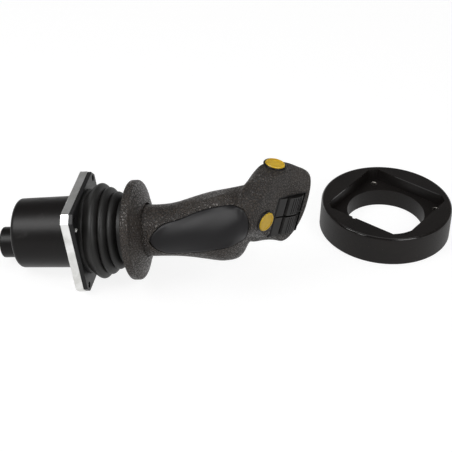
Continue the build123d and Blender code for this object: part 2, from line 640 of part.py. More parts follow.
with BuildPart() as ring_inserts:
    with Locations((0, 0, RING_HEIGHT - POCKET_DEPTH)):
        with GridLocations(HOLE_PITCH, HOLE_PITCH, 2, 2):
            Cylinder(INSERT_D / 2 - 0.02, INSERT_LEN, align=LOWER)
            Cylinder(INSERT_BORE_D / 2, 2 * INSERT_LEN, mode=Mode.SUBTRACT)
    mouths = ring_inserts.edges().filter_by(GeomType.CIRCLE).group_by(Axis.Z)[-1]
    chamfer(mouths.group_by(SortBy.RADIUS)[0], 0.5)
put(ring_inserts, "ring_inserts", BESIDE)
export_step(ring_inserts.part, "parts/ring_inserts.step")
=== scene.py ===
import json
import math

import bmesh
import bpy
import numpy as np
from mathutils import Matrix, Vector

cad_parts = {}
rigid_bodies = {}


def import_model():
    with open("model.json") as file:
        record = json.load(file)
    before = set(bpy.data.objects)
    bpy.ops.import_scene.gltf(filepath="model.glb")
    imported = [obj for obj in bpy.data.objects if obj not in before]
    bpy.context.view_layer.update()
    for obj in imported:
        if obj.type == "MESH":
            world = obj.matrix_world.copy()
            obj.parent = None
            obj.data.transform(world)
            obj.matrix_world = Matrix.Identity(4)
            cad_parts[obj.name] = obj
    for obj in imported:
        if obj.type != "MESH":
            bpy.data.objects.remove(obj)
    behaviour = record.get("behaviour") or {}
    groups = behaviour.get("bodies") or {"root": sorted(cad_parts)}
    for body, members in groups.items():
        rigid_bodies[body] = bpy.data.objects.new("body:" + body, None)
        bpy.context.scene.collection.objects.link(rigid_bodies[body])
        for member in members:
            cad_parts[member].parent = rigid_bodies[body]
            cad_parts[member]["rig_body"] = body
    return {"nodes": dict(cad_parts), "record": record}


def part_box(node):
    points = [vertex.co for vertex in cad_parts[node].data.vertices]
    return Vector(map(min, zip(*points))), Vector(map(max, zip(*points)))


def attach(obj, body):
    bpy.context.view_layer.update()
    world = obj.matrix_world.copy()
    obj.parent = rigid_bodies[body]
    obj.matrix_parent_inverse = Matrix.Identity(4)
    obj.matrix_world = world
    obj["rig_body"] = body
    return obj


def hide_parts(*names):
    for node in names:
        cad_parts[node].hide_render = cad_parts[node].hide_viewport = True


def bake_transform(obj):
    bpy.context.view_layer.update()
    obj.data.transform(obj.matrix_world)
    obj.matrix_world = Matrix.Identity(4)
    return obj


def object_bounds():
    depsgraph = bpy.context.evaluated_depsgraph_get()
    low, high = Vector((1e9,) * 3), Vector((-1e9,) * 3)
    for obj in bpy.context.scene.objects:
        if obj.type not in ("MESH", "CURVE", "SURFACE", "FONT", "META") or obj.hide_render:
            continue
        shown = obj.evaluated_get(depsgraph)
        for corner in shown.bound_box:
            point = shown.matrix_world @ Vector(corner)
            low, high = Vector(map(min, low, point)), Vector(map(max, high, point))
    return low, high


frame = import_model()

cad_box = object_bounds()
nodes = frame["nodes"]
joints = {joint["name"]: joint for joint in frame["record"]["behaviour"]["joints"]}

# ---- directions and heights taken from the frame, in metres
SIDE = np.array(joints["tilt_fore_aft"]["axis"], dtype=float)
SIDE = SIDE / np.linalg.norm(SIDE)
AWAY = np.array([0.0, 1.0, 0.0])
LEVER = np.cross(SIDE, AWAY)
LEAN = math.atan2(SIDE[0], -SIDE[2])
FLOOR = min(corner[2] for corner in cad_box)
RING_LOW, RING_HIGH = [np.array(corner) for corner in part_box("mounting_ring")]
RING_MID = (RING_LOW + RING_HIGH) / 2
RING_TOP = 0.0125  # above the ring's middle

# ---- numbers shared by several pieces
DOUBLES = 2e-6  # metres within which two points are one
MM = 1000.0  # millimetres in a metre


def lever_point(x, y, z):
    """Joystick millimetres to frame metres: x, y and z times the side, away and lever directions."""
    return (np.multiply.outer(x, SIDE) + np.multiply.outer(y, AWAY) + np.multiply.outer(z, LEVER)) / MM


# ================================================================ meshes
def surface(name, points, body, finish, stands_for, sharp):
    """A closed surface from a grid of points whose first index runs round and whose second runs along.

    The grid closes on itself round. A place along it where all points are one becomes a pole when the
    doubles are merged.
    """
    round_count, along_count = points.shape[:2]
    row = np.arange(round_count)[:, None]
    col = np.arange(along_count - 1)[None, :]
    after = (row + 1) % round_count
    quads = np.stack([row * along_count + col, after * along_count + col,
                      after * along_count + col + 1, row * along_count + col + 1], axis=-1)
    mesh = bpy.data.meshes.new(name)
    mesh.from_pydata(points.reshape(-1, 3).tolist(), [], quads.reshape(-1, 4).tolist())
    return finished(name, mesh, body, finish, stands_for, sharp)


def finished(name, mesh, body, finish, stands_for, sharp):
    """Merges doubles, turns faces outwards, smooths below the sharp angle and sets the body and slot.

    Its normals are then weighted by face size, so that small faces beside large flat ones don't shade.
    """
    shape = bmesh.new()
    shape.from_mesh(mesh)
    bmesh.ops.remove_doubles(shape, verts=shape.verts, dist=DOUBLES)
    bmesh.ops.recalc_face_normals(shape, faces=shape.faces)
    shape.to_mesh(mesh)
    shape.free()
    mesh.polygons.foreach_set("use_smooth", np.ones(len(mesh.polygons), dtype=bool))
    mesh.set_sharp_from_angle(angle=math.radians(sharp))
    mesh.materials.clear()
    mesh.materials.append(finish)
    piece = bpy.data.objects.new(name, mesh)
    bpy.context.scene.collection.objects.link(piece)
    weighted = piece.modifiers.new("even_normals", "WEIGHTED_NORMAL")
    weighted.keep_sharp = True
    weighted.weight = 80
    seen = piece.evaluated_get(bpy.context.evaluated_depsgraph_get())
    piece.data = bpy.data.meshes.new_from_object(seen)
    piece.data.name = name
    piece.modifiers.clear()
    if body:
        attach(piece, body)
    if stands_for:
        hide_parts(*stands_for)
    return piece


def in_joystick(points):
    """Frame metres to joystick millimetres along side, away and lever."""
    return points @ np.stack([SIDE, AWAY, LEVER], axis=1) * MM


def gap_to_line(points, line):
    """Shortest distance from each point to a run of straight pieces, and how far along the run it is."""
    start, end = line[:-1], line[1:]
    run = end - start
    share = ((points[:, None] - start) * run).sum(-1) / (run * run).sum(-1)
    share = np.clip(share, 0.0, 1.0)
    gap = np.linalg.norm(points[:, None] - (start + share[..., None] * run), axis=-1)
    nearest = gap.argmin(axis=1)
    rows = np.arange(len(points))
    return gap[rows, nearest], (nearest + share[rows, nearest]) / len(start)


def eased(value, low, high):
    """0 at low, 1 at high and a smooth step between."""
    t = np.clip((value - low) / (high - low), 0.0, 1.0)
    return t * t * (3.0 - 2.0 * t)


# ---- where the grip's head is worked, in joystick millimetres
SOFT_EDGE = np.array([(-48.5, -4.0, 161.5), (-43.6, -8.8, 157.9), (-36.2, -13.4, 153.0),
                      (-27.3, -17.0, 147.4), (-20.0, -20.0, 143.0)])
CREASE = np.array([(-22.5, -4.0, 90.0), (-25.5, -3.2, 102.0), (-28.0, -3.0, 112.0), (-31.5, -2.6, 122.0),
                   (-35.5, -3.8, 132.0), (-41.0, -6.0, 142.0), (-45.0, -7.6, 152.0), (-48.0, -4.8, 160.7)])
CREASE_OUT = np.array([-0.82, -0.56, -0.08])
CREASE_HEIGHT, CREASE_WIDTH = 3.2, 3.8
BUTTON_SEAT = np.array([-10.6, -9.2, 151.5])
LONGEST_EDGE = 1.5
REFINE_ROUNDS, RELAX_ROUNDS = 7, 90


def modelled(mesh):
    """Works one grip shell like a sculptor: finer triangles on the head's flank, then two moves.

    The edge between the crown and the flank is relaxed by moving each point towards the mean of its
    neighbours, many times, as strongly as it is near the edge; the top button's seat keeps its shape.
    Then a low crease is raised along a line from the neck to the horn, as high as a bell curve of the
    distance to that line.
    """
    shape = bmesh.new()
    shape.from_mesh(mesh)
    bmesh.ops.remove_doubles(shape, verts=shape.verts, dist=DOUBLES)
    for _ in range(REFINE_ROUNDS):
        edges = list(shape.edges)
        ends = np.array([edge.verts[0].co[:] + edge.verts[1].co[:] for edge in edges])
        middle = in_joystick((ends[:, :3] + ends[:, 3:]) / 2)
        length = np.linalg.norm(ends[:, :3] - ends[:, 3:], axis=1) * MM
        near = (middle[:, 2] > 88.0) & (middle[:, 0] < -8.0) & (middle[:, 1] < 12.0)
        chosen = np.nonzero(near & (length > LONGEST_EDGE))[0]
        if len(chosen) == 0:
            break
        bmesh.ops.subdivide_edges(shape, edges=[edges[k] for k in chosen], cuts=1)
        bmesh.ops.triangulate(shape, faces=[face for face in shape.faces if len(face.verts) > 3])
    shape.to_mesh(mesh)
    shape.free()
    count = len(mesh.vertices)
    places = np.empty(count * 3)
    mesh.vertices.foreach_get("co", places)
    points = in_joystick(places.reshape(-1, 3))
    pairs = np.empty(len(mesh.edges) * 2, dtype=np.int64)
    mesh.edges.foreach_get("vertices", pairs)
    first, second = pairs.reshape(-1, 2).T
    degree = np.bincount(pairs, minlength=count)[:, None].clip(1)
    gap, _ = gap_to_line(points, SOFT_EDGE)
    weight = (1.0 - eased(gap, 4.5, 9.0)) * eased(-points[:, 1], 0.2, 2.5)
    weight = weight * eased(np.linalg.norm(points - BUTTON_SEAT, axis=1), 10.5, 13.0)
    for _ in range(RELAX_ROUNDS):
        total = [np.bincount(first, points[second, axis], count)
                 + np.bincount(second, points[first, axis], count) for axis in range(3)]
        mean = np.stack(total, axis=1) / degree
        points = points + (mean - points) * weight[:, None] * 0.6
    gap, along = gap_to_line(points, CREASE)
    ends_out = eased(along, 0.0, 0.35) * (1.0 - eased(along, 0.80, 1.0))
    rise = CREASE_HEIGHT * np.exp(-(gap / CREASE_WIDTH) ** 2) * ends_out
    points = points + CREASE_OUT * rise[:, None]
    mesh.vertices.foreach_set("co", lever_point(points[:, 0], points[:, 1], points[:, 2]).ravel())
    mesh.update()


def skin(node, name, finish, sharp):
    """A merged and smooth-shaded copy of one node; the two grip shells are worked as well."""
    mesh = nodes[node].data.copy()
    if "custom_normal" in mesh.attributes:
        mesh.attributes.remove(mesh.attributes["custom_normal"])
    if node in ("grip_front", "grip_rear"):
        modelled(mesh)
    return finished(name, mesh, nodes[node]["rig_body"], finish, (node,), sharp)


def triangles(node):
    """A node's triangles as one array of corners, in frame metres."""
    mesh = nodes[node].data
    mesh.calc_loop_triangles()
    corners = np.empty(len(mesh.loop_triangles) * 3, dtype=np.int32)
    mesh.loop_triangles.foreach_get("vertices", corners)
    places = np.empty(len(mesh.vertices) * 3)
    mesh.vertices.foreach_get("co", places)
    return places.reshape(-1, 3)[corners].reshape(-1, 3, 3)


def reach(starts, direction, faces):
    """How far each start travels along one direction before it first meets a face; nan where it misses.

    Each face and start is turned into the plane across the direction, where barycentric weights say
    whether the start's line passes through, and the weighted corner depths say how deep the meeting is.
    """
    direction = direction / np.linalg.norm(direction)
    first = np.cross(direction, [0.0, 0.0, 1.0])
    first = first / np.linalg.norm(first)
    second = np.cross(direction, first)
    flat = np.stack([faces @ first, faces @ second, faces @ direction], axis=-1)
    a, b, c = flat[:, 0], flat[:, 1], flat[:, 2]
    area = (b[:, 0] - a[:, 0]) * (c[:, 1] - a[:, 1]) - (c[:, 0] - a[:, 0]) * (b[:, 1] - a[:, 1])
    kept = np.abs(area) > 1e-14
    a, b, c, area = a[kept], b[kept], c[kept], area[kept]
    px = (starts @ first)[:, None]
    py = (starts @ second)[:, None]
    wb = ((px - a[:, 0]) * (c[:, 1] - a[:, 1]) - (c[:, 0] - a[:, 0]) * (py - a[:, 1])) / area
    wc = ((b[:, 0] - a[:, 0]) * (py - a[:, 1]) - (px - a[:, 0]) * (b[:, 1] - a[:, 1])) / area
    depth = a[:, 2] + wb * (b[:, 2] - a[:, 2]) + wc * (c[:, 2] - a[:, 2])
    inside = (wb >= -1e-6) & (wc >= -1e-6) & (wb + wc <= 1.000001)
    depth = np.where(inside, depth, np.inf).min(axis=1) - starts @ direction
    return np.where(np.isfinite(depth), depth, np.nan)


# ================================================================ finishes
def add_node(tree, kind, settings=None, sockets=None):
    """Adds a node of one type, sets its settings first, then its socket values or links."""
    made = tree.nodes.new(kind)
    for key, value in (settings or {}).items():
        setattr(made, key, value)
    for key, value in (sockets or {}).items():
        target = made.inputs[key]
        if isinstance(value, Val):
            value = value.socket
        if isinstance(value, bpy.types.NodeSocket):
            tree.links.new(value, target)
            continue
        if target.type == "RGBA":
            value = (*value, 1.0)
        target.default_value = value
    return made


class Val:
    """A socket in arithmetic: every operator adds one Math node."""

    def __init__(self, finish, socket):
        self.finish = finish
        self.socket = socket

    def _math(self, operation, first, second=0.0):
        made = self.finish.node("ShaderNodeMath", {"operation": operation}, {0: first, 1: second})
        return Val(self.finish, made.outputs[0])

    def __add__(self, other):
        return self._math("ADD", self, other)

    def __radd__(self, other):
        return self._math("ADD", other, self)

    def __sub__(self, other):
        return self._math("SUBTRACT", self, other)

    def __rsub__(self, other):
        return self._math("SUBTRACT", other, self)

    def __mul__(self, other):
        return self._math("MULTIPLY", self, other)

    def power(self, other):
        return self._math("POWER", self, other)

    def size(self):
        return self._math("ABSOLUTE", self)

    def sine(self):
        return self._math("SINE", self)

    def highest(self, other):
        return self._math("MAXIMUM", self, other)

    def rise(self, low, high):
        """0 below low, 1 above high and a smooth step between."""
        made = self.finish.node("ShaderNodeMapRange", {"interpolation_type": "SMOOTHSTEP"},
                                {"Value": self, "From Min": low, "From Max": high})
        return Val(self.finish, made.outputs[0])


class Finish:
    """One material: a Principled shader, with its constants set and its varying inputs fed by done()."""

    def __init__(self, name, **constants):
        self.material = bpy.data.materials.new(name)
        self.material.use_nodes = True
        self.tree = self.material.node_tree
        self.tree.nodes.clear()
        self.shader = self.tree.nodes.new("ShaderNodeBsdfPrincipled")
        self.out = self.tree.nodes.new("ShaderNodeOutputMaterial")
        self.tree.links.new(self.shader.outputs[0], self.out.inputs[0])
        for key, value in constants.items():
            self.shader.inputs[key.replace("_", " ")].default_value = value
        place = self.node("ShaderNodeTexCoord")
        self.object = place.outputs["Object"]

    def node(self, kind, settings=None, sockets=None):
        return add_node(self.tree, kind, settings, sockets)

    def turned(self, rotation=(0.0, 0.0, 0.0), centre=(0.0, 0.0, 0.0), scale=(1.0, 1.0, 1.0)):
        """Object coordinates scaled, turned about the origin, then moved so that centre is their origin."""
        made = self.node("ShaderNodeMapping", {"vector_type": "POINT"},
                         {"Vector": self.object, "Rotation": rotation, "Scale": scale,
                          "Location": tuple(-value for value in centre)})
        return made.outputs[0]

    def noise(self, at, scale, detail=3.0, roughness=0.55, distortion=0.0):
        made = self.node("ShaderNodeTexNoise", None,
                         {"Vector": at, "Scale": scale, "Detail": detail, "Roughness": roughness,
                          "Distortion": distortion})
        return Val(self, made.outputs[0])

    def cells(self, at, scale, feature="DISTANCE_TO_EDGE"):
        made = self.node("ShaderNodeTexVoronoi", {"feature": feature}, {"Vector": at, "Scale": scale})
        return Val(self, made.outputs["Distance"])

    def split(self, at):
        made = self.node("ShaderNodeSeparateXYZ", None, {0: at})
        return [Val(self, socket) for socket in made.outputs]

    def blend(self, factor, first, second):
        """Colour mix from first to second."""
        made = self.node("ShaderNodeMix", {"data_type": "RGBA"}, {0: factor, 6: first, 7: second})
        return made.outputs[2]

    def warped(self, at, amount, scale):
        """Coordinates pushed about by a coloured noise."""
        push = self.node("ShaderNodeTexNoise", None, {"Vector": at, "Scale": scale, "Detail": 1.0})
        centred = self.node("ShaderNodeVectorMath", {"operation": "SUBTRACT"},
                            {0: push.outputs[1], 1: (0.5, 0.5, 0.5)})
        scaled = self.node("ShaderNodeVectorMath", {"operation": "SCALE"}, {0: centred.outputs[0], 3: amount})
        moved = self.node("ShaderNodeVectorMath", {"operation": "ADD"}, {0: at, 1: scaled.outputs[0]})
        return moved.outputs[0]

    def done(self, colour, roughness, metallic=None, height=None, depth=0.0001, strength=0.5, coat=None):
        """Feeds the shader: colour, roughness, metallic and coat, and the height through one Bump node."""
        for socket, value in (("Base Color", colour), ("Roughness", roughness), ("Metallic", metallic),
                              ("Coat Weight", coat)):
            if value is None:
                continue
            if isinstance(value, Val):
                value = value.socket
            if isinstance(value, bpy.types.NodeSocket):
                self.tree.links.new(value, self.shader.inputs[socket])
            elif socket == "Base Color":
                self.shader.inputs[socket].default_value = (*value, 1.0)
            else:
                self.shader.inputs[socket].default_value = value
        if height is not None:
            bump = self.node("ShaderNodeBump", None,
                             {"Height": height, "Distance": depth, "Strength": strength})
            self.tree.links.new(bump.outputs["Normal"], self.shader.inputs["Normal"])
        return self.material


TO_LEVER = (0.0, -(math.pi / 2 - LEAN), 0.0)


def grained_moulding():
    """Warm dark grey moulding with a pebbled leather grain: shiny pebbles, dull creases coloured darker as
    painted shade, rubbed patches.
    """
    made = Finish("grained_moulding", Specular_IOR_Level=0.40)
    bent = made.warped(made.object, 0.0009, 330.0)
    pebble = made.cells(bent, 430.0).rise(0.02, 0.26)
    small = made.noise(made.object, 2600.0, 2.0)
    patch = made.noise(made.object, 38.0, 3.0)
    height = pebble * 0.8 + small * 0.22
    # the pebble mask also paints shade: the grain's creases are coloured near black and its pebbles lighter
    colour = made.blend(pebble, (0.0080, 0.0055, 0.0040), (0.0480, 0.0370, 0.0290))
    rubbed = made.blend(patch.rise(0.35, 0.75) * 0.5, colour, (0.0600, 0.0470, 0.0375))
    rough = 0.56 - pebble * 0.30 + patch * 0.08
    return made.done(rubbed, rough, height=height, depth=0.00060, strength=1.0)


def satin_coat():
    """Black satin coat over metal: slight orange peel, faint rubbed smears and a few hair scratches."""
    made = Finish("satin_coat", Specular_IOR_Level=0.20)
    at = made.turned(TO_LEVER)
    peel = made.noise(at, 900.0, 2.0)
    smear = made.noise(made.turned(TO_LEVER, scale=(55.0, 55.0, 22.0)), 1.0, 4.0, 0.6, 0.8).rise(0.56, 0.74)
    hair = made.noise(made.turned((0.0, -0.9, 0.5), scale=(1400.0, 90.0, 90.0)), 1.0, 2.0).rise(0.70, 0.76)
    colour = made.blend(smear * 0.6 + hair * 0.25, (0.0072, 0.0060, 0.0058), (0.028, 0.0255, 0.0245))
    rough = 0.36 + peel * 0.05 + smear * 0.14
    return made.done(colour, rough, height=peel - hair * 0.5, depth=0.00004, strength=0.35)


def plate_moulding():
    """Black moulded cover plate, smooth with fine flow mottling, coloured lighter towards its corners as
    painted light and darker in its middle as painted shade under the bellows.
    """
    made = Finish("plate_moulding", Specular_IOR_Level=0.22)
    at = made.turned(TO_LEVER)
    x, y, z = made.split(at)
    # corner rises from the plate's middle out to its corners: painted light on the corners, painted shade
    # under the bellows
    corner = ((x * x + y * y).power(0.5)).rise(0.034, 0.046)
    mottle = made.noise(at, 260.0, 4.0)
    fine = made.noise(at, 2400.0, 2.0)
    # the corner share of this colour is painted light and shade
    colour = made.blend(corner * 0.35 + mottle * 0.3, (0.0060, 0.0060, 0.0060), (0.026, 0.026, 0.027))
    rough = 0.30 + mottle * 0.14 + corner * 0.06
    return made.done(colour, rough, height=fine + mottle, depth=0.00003, strength=0.4)


def bright_plate():
    """Cast and faced aluminium: bright, with short brushed strokes, dull oxide clouds and small dents."""
    made = Finish("bright_plate")
    long_way = made.noise(made.turned(TO_LEVER, scale=(1.0, 1.0, 9.0)), 900.0, 3.0)
    cloud = made.noise(made.turned(TO_LEVER), 70.0, 4.0, 0.6, 0.6)
    dent = made.cells(made.warped(made.object, 0.002, 90.0), 190.0, "F1").rise(0.0, 0.14)
    colour = made.blend(cloud.rise(0.35, 0.7), (0.83, 0.83, 0.82), (0.64, 0.64, 0.62))
    rough = 0.26 + cloud * 0.16 + long_way * 0.10
    return made.done(colour, rough, 1.0, long_way * 0.5 + dent * 0.5, 0.00008, 0.30)


def bellows_rubber():
    """Soft black rubber: fine skin, and a faint grey bloom in patches and in bands round the lever."""
    made = Finish("bellows_rubber", Specular_IOR_Level=0.34)
    at = made.turned(TO_LEVER)
    bloom = made.noise(at, 90.0, 4.0, 0.6, 0.4)
    skin_noise = made.noise(at, 2100.0, 3.0)
    rings = made.noise(made.turned(TO_LEVER, scale=(1.0, 1.0, 14.0)), 60.0, 2.0)
    dusty = bloom.rise(0.35, 0.75) * 0.6 + rings * 0.2
    colour = made.blend(dusty, (0.0070, 0.0066, 0.0060), (0.021, 0.0200, 0.0186))
    rough = 0.46 + bloom * 0.14
    return made.done(colour, rough, height=skin_noise + rings * 0.6, depth=0.00005, strength=0.45)


def inlay_rubber():
    """Smooth near-black rubber inlay, finely matt, with cloudy gloss."""
    made = Finish("inlay_rubber", Specular_IOR_Level=0.27)
    cloud = made.noise(made.object, 60.0, 4.0, 0.6, 0.5)
    fine = made.noise(made.object, 1900.0, 3.0)
    colour = made.blend(cloud, (0.0058, 0.0052, 0.0060), (0.0112, 0.0102, 0.0116))
    rough = 0.45 + cloud * 0.10 + fine * 0.04
    return made.done(colour, rough, height=fine + cloud, depth=0.00004, strength=0.35)


def yellow_cap():
    """Moulded yellow button cap, slightly cloudy in colour and gloss."""
    made = Finish("yellow_cap", Specular_IOR_Level=0.5)
    cloud = made.noise(made.object, 210.0, 4.0, 0.6)
    fine = made.noise(made.object, 2300.0, 2.0)
    colour = made.blend(cloud.rise(0.3, 0.75), (0.86, 0.55, 0.014), (0.72, 0.45, 0.018))
    return made.done(colour, 0.30 + cloud * 0.16, height=fine, depth=0.00003, strength=0.35)


def black_moulding(name, base, rough, tint=1.0):
    """Plain black moulding with flow mottling and a fine tool texture."""
    made = Finish(name, Specular_IOR_Level=0.28)
    mottle = made.noise(made.object, 180.0, 4.0, 0.6)
    fine = made.noise(made.object, 2600.0, 2.0)
    low = (base * 0.75 * tint, base * 0.72, base * 0.70)
    high = (base * 1.9 * tint, base * 1.8, base * 1.75)
    colour = made.blend(mottle.rise(0.3, 0.75), low, high)
    return made.done(colour, rough + mottle * 0.14, height=fine, depth=0.00004, strength=0.45)


def gloss_turned():
    """Black turned ring: tool rings on its two round walls, a few specks, gloss outside walls and pocket."""
    made = Finish("gloss_turned", Specular_IOR_Level=0.24, Coat_Roughness=0.06)
    at = made.turned(centre=tuple(RING_MID))
    x, y, z = made.split(at)
    radius = (x * x + y * y).power(0.5)
    outside = radius.rise(0.05392, 0.05412)
    bore = 1.0 - radius.rise(0.0323, 0.0328)
    wall = outside.highest(bore)
    below_top = 1.0 - z.rise(RING_TOP - 0.0009, RING_TOP - 0.0004)
    pocket = (1.0 - radius.rise(0.0500, 0.0505)) * below_top
    dull = wall.highest(pocket)
    wander = made.noise(at, 30.0, 2.0)
    lines = (z * 9000.0 + wander * 1.5).sine() + (z * 15500.0).sine() * 0.5
    cloud = made.noise(at, 46.0, 4.0, 0.6, 0.4)
    speck = made.cells(at, 260.0, "F1").rise(0.05, 0.10)
    colour = made.blend(cloud.rise(0.3, 0.75), (0.0058, 0.0042, 0.0036), (0.0105, 0.0080, 0.0068))
    dusted = made.blend(speck, (0.030, 0.028, 0.026), colour)
    rough = 0.16 + cloud * 0.06 + dull * 0.30
    coat = 0.55 - dull * 0.55
    return made.done(dusted, rough, height=lines * wall, depth=0.00002, strength=0.5, coat=coat)


def steel(name, colour=(0.62, 0.61, 0.59), rough=0.30):
    """Turned or drawn steel with lengthwise strokes and faint darker stains."""
    made = Finish(name)
    stroke = made.noise(made.turned(TO_LEVER, scale=(8.0, 8.0, 1.0)), 500.0, 3.0)
    stain = made.noise(made.object, 120.0, 4.0, 0.6, 0.5).rise(0.45, 0.8)
    dark = tuple(value * 0.72 for value in colour)
    stained = made.blend(stain, colour, dark)
    return made.done(stained, rough + stroke * 0.14 + stain * 0.08, 1.0, stroke, 0.00003, 0.35)


def board():
    """Green circuit board: lacquer over a woven laminate with lighter traces."""
    made = Finish("board_lacquer", Specular_IOR_Level=0.5)
    at = made.turned(TO_LEVER)
    x, y, z = made.split(at)
    weave = (x * 9000.0).sine() * (y * 9000.0).sine()
    trace = made.cells(at, 420.0).rise(0.02, 0.06)
    colour = made.blend(trace, (0.05, 0.16, 0.06), (0.012, 0.075, 0.028))
    return made.done(colour, 0.28 + weave.size() * 0.12, height=weave + trace, depth=0.00002, strength=0.4)


GRAIN = grained_moulding()
COAT = satin_coat()
PLATE = plate_moulding()
ALUMINIUM = bright_plate()
RUBBER = bellows_rubber()
INLAY = inlay_rubber()
YELLOW = yellow_cap()
BEZEL = black_moulding("bezel_black", 0.004, 0.24)
ROCKER = black_moulding("rocker_black", 0.0088, 0.30, 1.10)
TRAY = black_moulding("tray_black", 0.005, 0.42)
SWITCH = black_moulding("switch_black", 0.014, 0.38)
RING = gloss_turned()
BRIGHT = steel("bright_steel", (0.80, 0.80, 0.78), 0.22)
DULL = steel("insert_steel", (0.16, 0.15, 0.14), 0.40)
STEEL = steel("plain_steel")
SPRING = steel("spring_steel", (0.46, 0.44, 0.42), 0.34)
BOARD = board()

LOOKS = {
    COAT: ("body_housing", "outlet_stub"),
    PLATE: ("top_plate",),
    RUBBER: ("outlet_grommet", "bellows_foot"),
    ALUMINIUM: ("mounting_flange", "grip_clamp", "core_block"),
    BRIGHT: ("plate_screws", "lever_magnet"),
    DULL: ("ring_inserts",),
    STEEL: ("gimbal_pins", "gimbal_ring", "lever_shaft", "lever_pin", "bearing_brackets", "rocker_axle"),
    SPRING: ("centring_spring",),
    BOARD: ("sensor_board",),
    GRAIN: ("base_disc", "grip_rear", "grip_front"),
    BEZEL: ("thumb_bezel", "top_bezel"),
    YELLOW: ("thumb_button", "top_button"),
    SWITCH: ("thumb_switch", "top_switch", "rocker_switches", "hall_sensors"),
    TRAY: ("rocker_tray",),
    ROCKER: ("rocker_left", "rocker_right"),
    RING: ("mounting_ring",),
}
for finish, names in LOOKS.items():
    for name in names:
        nodes[name].data.materials.clear()
        nodes[name].data.materials.append(finish)

# ================================================================ smooth-shaded skins
ROUND, RIBBED = 34.0, 24.0
SKINS = (
    ("grip_front", "grip_front_skin", "grained_grip", GRAIN, ROUND),
    ("grip_rear", "grip_rear_skin", "grained_grip", GRAIN, ROUND),
    ("base_disc", "base_disc_skin", "grained_grip", GRAIN, ROUND),
    ("body_housing", "body_skin", "black_coat", COAT, ROUND),
    ("outlet_stub", "outlet_skin", "black_coat", COAT, ROUND),
    ("mounting_ring", "ring_skin", "gloss_black", RING, ROUND),
    ("rocker_left", "rocker_left_skin", "ribbed_black", ROCKER, RIBBED),
    ("rocker_right", "rocker_right_skin", "ribbed_black", ROCKER, RIBBED),
    ("thumb_button", "thumb_button_skin", "yellow_cap", YELLOW, ROUND),
    ("top_button", "top_button_skin", "yellow_cap", YELLOW, ROUND),
    ("thumb_bezel", "thumb_bezel_skin", "black_moulding", BEZEL, ROUND),
    ("top_bezel", "top_bezel_skin", "black_moulding", BEZEL, ROUND),
)
for node, name, slot, finish, sharp in SKINS:
    skin(node, name, finish, sharp)

# ================================================================ bellows
# radius and height along the lever, in millimetres
VALLEYS = [(32.0, 12.52), (31.7, 24.2), (28.5, 30.7), (25.9, 37.6)]
CRESTS = [(37.3, 20.2), (33.8, 27.5), (30.1, 33.9)]
COLLAR = (25.9, 45.6)
WALL = 1.4


def fold_profile(first, last, count=42):
    """Radius and height along folds first to last.

    Between two valleys a fold rises as a straight line between them plus a bulge, the sine of a half turn
    to the power 0.62, so that the crest is round and the valleys are tight. The height runs as a power of
    the same parameter, chosen so that the bulge is fullest at the crest's own height.
    """
    radii, heights = [], []
    t = np.linspace(0.0, 1.0, count)
    t = 0.5 - 0.5 * np.cos(math.pi * t)
    for k in range(first, last):
        (r0, z0), (r1, z1), (rc, zc) = VALLEYS[k], VALLEYS[k + 1], CRESTS[k]
        bend = math.log((zc - z0) / (z1 - z0)) / math.log(0.5)
        bulge = rc - (r0 + r1) / 2
        radii.append(r0 + (r1 - r0) * t + bulge * np.sin(math.pi * t) ** 0.62)
        heights.append(z0 + (z1 - z0) * t ** bend)
    return np.concatenate(radii), np.concatenate(heights)


def bellows_wall(name, first, last, with_collar):
    """The fold profile turned about the lever axis: outer skin, then back down an inner skin one wall in.

    The inner skin never goes further out than a plain taper, so that it doesn't follow the crests.
    """
    radii, heights = fold_profile(first, last)
    if with_collar:
        radii = np.append(radii, [COLLAR[0], COLLAR[0]])
        heights = np.append(heights, [VALLEYS[-1][1] + 2.5, COLLAR[1]])
    inner = np.minimum(radii - WALL, np.interp(heights, [12.0, 24.0, 46.0], [33.0, 31.0, 24.4]))
    r = np.concatenate([radii, inner[::-1], radii[:1]])
    z = np.concatenate([heights, heights[::-1], heights[:1]])
    turn = np.linspace(0.0, 2.0 * math.pi, 192, endpoint=False)[:, None]
    points = lever_point(r * np.cos(turn), r * np.sin(turn), z + 0.0 * turn)
    return surface(name, points, None, RUBBER, (), 50.0)


def on_axis(height):
    """A point of the lever axis, in frame metres."""
    return tuple(lever_point(0.0, 0.0, height))


lower = bellows_wall("bellows_lower", 0, 1, False)
upper = bellows_wall("bellows_upper", 1, 3, True)
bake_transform(lower)
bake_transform(upper)
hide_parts("bellows")
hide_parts("bellows")

# ================================================================ centring spring
COIL_TURNS, COIL_R, WIRE_R = 3.0, 14.6, 0.75
coil_heights = in_joystick(triangles("centring_spring").reshape(-1, 3))[:, 2]
COIL_LOW = coil_heights.min() + WIRE_R
COIL_HIGH = coil_heights.max() - WIRE_R
COIL_RISE = COIL_HIGH - COIL_LOW


def coil_part(name, low, high):
    """A wire circle carried along a helix from one share of its length to another.

    The circle's two directions are the outward one and the one square to both it and the helix. At both
    ends the circle shrinks to a point.
    """
    along = np.linspace(low, high, 120)[None, :]
    angle = 2.0 * math.pi * COIL_TURNS * along
    ring = np.linspace(0.0, 2.0 * math.pi, 14, endpoint=False)[:, None]
    wire = WIRE_R * np.ones_like(along)
    wire[:, [0, -1]] = 0.0
    tilt = math.atan(COIL_RISE / (2.0 * math.pi * COIL_TURNS * COIL_R))
    out = wire * np.cos(ring)
    side = wire * np.sin(ring)
    x = (COIL_R + out) * np.cos(angle) + side * math.sin(tilt) * np.sin(angle)
    y = (COIL_R + out) * np.sin(angle) - side * math.sin(tilt) * np.cos(angle)
    z = COIL_LOW + COIL_RISE * along + side * math.cos(tilt)
    return surface(name, lever_point(x, y, z), None, SPRING, (), 60.0)


